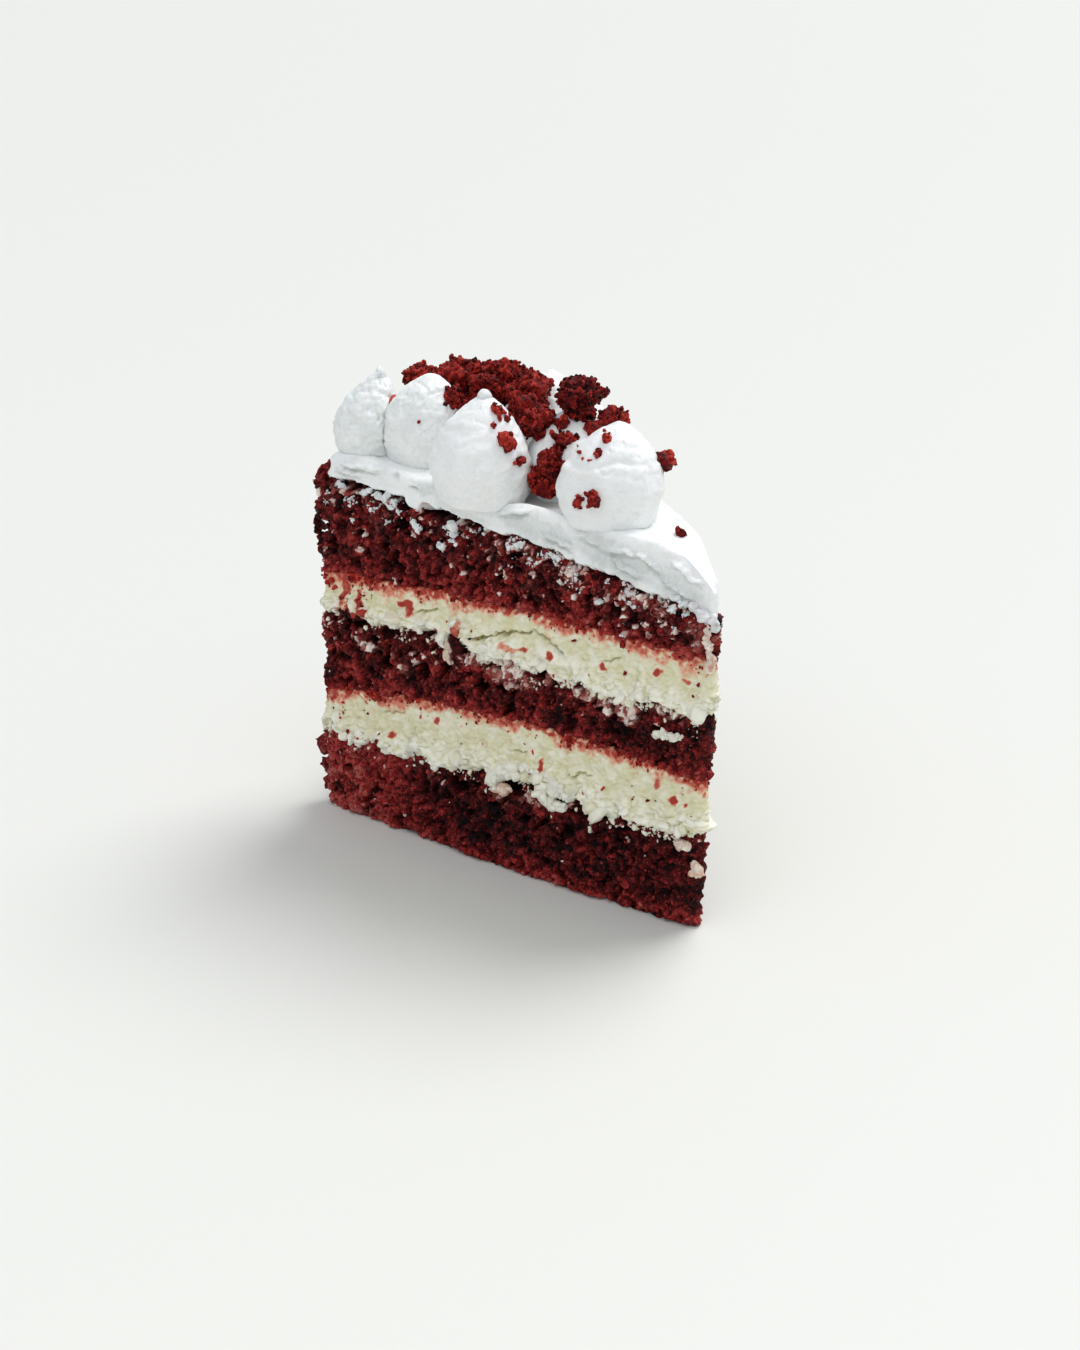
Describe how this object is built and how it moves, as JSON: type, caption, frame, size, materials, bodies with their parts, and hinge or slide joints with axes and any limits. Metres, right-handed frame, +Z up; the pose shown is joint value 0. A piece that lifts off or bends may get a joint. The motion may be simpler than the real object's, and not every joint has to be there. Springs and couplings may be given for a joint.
{
  "type": "slice of red velvet cake",
  "caption": "Wedge-shaped slice of red velvet layer cake with cream fillings, white frosting, piped dollops and sponge crumbs on top.",
  "frame": {"origin": "centre of the slice's bounding box at the plane it stands on", "axes": "+Z up; the wedge's tip points to -Y and the cake's outer rim to +Y; +X to the right seen from the tip; the cut face shown in full is the -X one"},
  "size_m": [0.0848, 0.1232, 0.1241],
  "materials": {
    "red_sponge": "moist open crumb, dark red, matt with damp glints",
    "cream_filling": "soft cream with a yellowish tint, red where the sponge has stained it",
    "white_frosting": "whipped white cream, satin, finely pitted",
    "sponge_crumb": "loose dry sponge crumb, brighter red at the edges"
  },
  "bodies": {
    "root": {"sponge_bottom": "red_sponge", "cream_lower": "cream_filling", "sponge_middle": "red_sponge", "cream_upper": "cream_filling", "sponge_top": "red_sponge", "frosting_slab": "white_frosting", "dollop_rim_left": "white_frosting", "dollop_left": "white_frosting", "dollop_front": "white_frosting", "dollop_middle": "white_frosting", "dollop_tip": "white_frosting", "dollop_back": "white_frosting", "dollop_rim_middle": "white_frosting", "dollop_rim_back": "white_frosting", "dollop_corner": "white_frosting", "crumb_heap": "sponge_crumb", "crumb_valley": "sponge_crumb", "crumb_ball": "sponge_crumb", "crumb_right": "sponge_crumb", "crumb_left": "sponge_crumb"}
  },
  "joints": []
}
